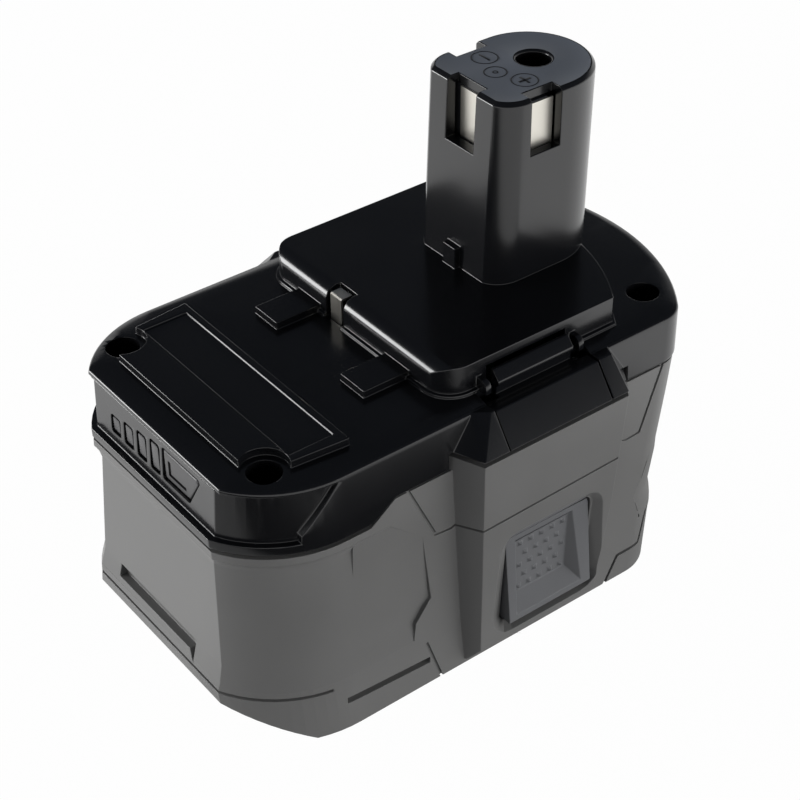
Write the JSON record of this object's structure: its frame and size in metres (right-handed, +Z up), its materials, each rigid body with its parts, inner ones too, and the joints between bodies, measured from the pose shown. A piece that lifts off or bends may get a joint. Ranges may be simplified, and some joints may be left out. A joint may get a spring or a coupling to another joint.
{
  "type": "power tool battery pack",
  "caption": "Rechargeable stem-type battery pack for cordless tools, with sprung side latches, a charge gauge, contact windows in the stem and cells inside a two-part housing.",
  "frame": {"origin": "middle of the bounding box, on the floor the pack stands on", "axes": "+Z up along the stem, +Y from the gauge end to the stem end, X across the two latches"},
  "size_m": [0.0836, 0.1244, 0.111],
  "materials": {
    "case_black": "satin black moulded plastic",
    "cover_black": "glossy black moulded plastic",
    "latch_black": "satin black moulded plastic",
    "button_grey": "satin dark grey plastic",
    "lens_grey": "smoked clear plastic",
    "nickel": "nickel plated sheet",
    "spring_steel": "drawn wire",
    "screw_steel": "zinc plated steel",
    "cell_sleeve": "shrunk film over a steel can",
    "frame_grey": "moulded plastic",
    "board_green": "solder mask",
    "chip_black": "moulded epoxy",
    "fuse_tan": "ceramic body",
    "led_clear": "clear epoxy",
    "switch_grey": "moulded plastic",
    "ribbon_amber": "film with copper tracks",
    "paper_tan": "insulating paper",
    "lead_red": "insulated copper",
    "lead_black": "insulated copper",
    "bead_brown": "dipped epoxy",
    "foam_grey": "closed cell foam"
  },
  "bodies": {
    "pack": {"lower_case": "case_black", "top_cover": "cover_black", "latch_spring_left": "spring_steel", "latch_spring_right": "spring_steel", "gauge_lens": "lens_grey", "gauge_board": "board_green", "gauge_leds": "led_clear", "gauge_switch": "switch_grey", "gauge_ribbon": "ribbon_amber", "case_screws": "screw_steel", "terminal_positive": "nickel", "terminal_negative": "nickel", "terminal_thermistor": "nickel", "terminal_data": "nickel", "terminal_carrier": "frame_grey", "main_board": "board_green", "board_mosfets": "chip_black", "board_fuse": "fuse_tan", "cell_01": "cell_sleeve", "cell_02": "cell_sleeve", "cell_03": "cell_sleeve", "cell_04": "cell_sleeve", "cell_05": "cell_sleeve", "cell_06": "cell_sleeve", "cell_07": "cell_sleeve", "cell_08": "cell_sleeve", "cell_09": "cell_sleeve", "cell_10": "cell_sleeve", "cell_frame_left": "frame_grey", "cell_frame_right": "frame_grey", "strip_right_front": "nickel", "strip_right_middle": "nickel", "strip_right_rear": "nickel", "strip_left_front": "nickel", "strip_left_middle": "nickel", "strip_left_rear": "nickel", "insulator_left": "paper_tan", "insulator_right": "paper_tan", "lead_positive": "lead_red", "lead_negative": "lead_black", "thermistor_bead": "bead_brown", "foam_pad": "foam_grey"},
    "latch_right_body": {"latch_right": "latch_black"},
    "latch_left_body": {"latch_left": "latch_black"},
    "gauge_button_body": {"gauge_button": "button_grey"}
  },
  "joints": [
    {"name": "latch_right_press", "type": "slide", "parent": "pack", "child": "latch_right_body", "axis": [-1, 0, 0], "range_m": [0, 0.0026], "stiffness_N_per_m": 1500, "springref_m": -0.002, "deforming": ["latch_spring_right"]},
    {"name": "latch_left_press", "type": "slide", "parent": "pack", "child": "latch_left_body", "axis": [1, 0, 0], "range_m": [0, 0.0026], "stiffness_N_per_m": 1500, "springref_m": -0.002, "deforming": ["latch_spring_left"]},
    {"name": "gauge_button_press", "type": "slide", "parent": "pack", "child": "gauge_button_body", "axis": [0, 1, 0], "range_m": [0, 0.0006], "stiffness_N_per_m": 500, "springref_m": -0.0006}
  ]
}
